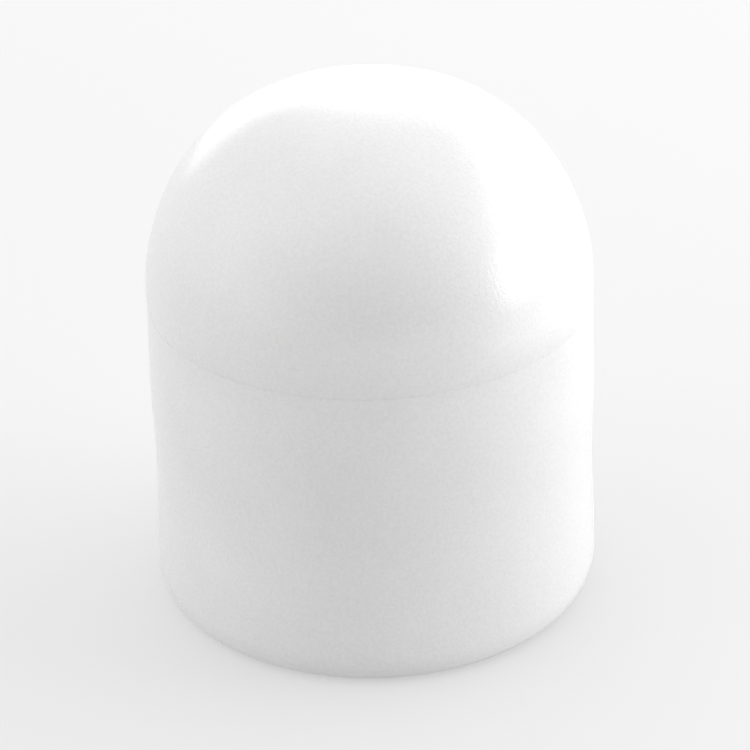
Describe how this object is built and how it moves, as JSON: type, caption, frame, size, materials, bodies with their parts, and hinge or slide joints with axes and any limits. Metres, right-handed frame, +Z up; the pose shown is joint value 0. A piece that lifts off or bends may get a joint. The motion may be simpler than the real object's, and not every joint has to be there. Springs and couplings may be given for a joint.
{
  "type": "fence post cap",
  "caption": "Domed white plastic safety cap that slips over the top of a steel T-section fence post.",
  "frame": {"origin": "centre of the rim's flat end, at the bottom of the cap, on its axis", "axes": "+Z up along the cap's axis to the crown; -Y towards the side that takes the post's studs, so that the post's flange lies along X and its stem points to +Y"},
  "size_m": [0.0643, 0.0642, 0.0762],
  "materials": {
    "white_polyethylene": "satin, smooth injection-moulded skin",
    "natural_polyethylene": "satin, smooth injection-moulded skin, unpigmented"
  },
  "bodies": {
    "root": {"dome": "white_polyethylene", "sleeve": "white_polyethylene", "post_socket": "natural_polyethylene", "stop_disc": "natural_polyethylene"}
  },
  "joints": []
}
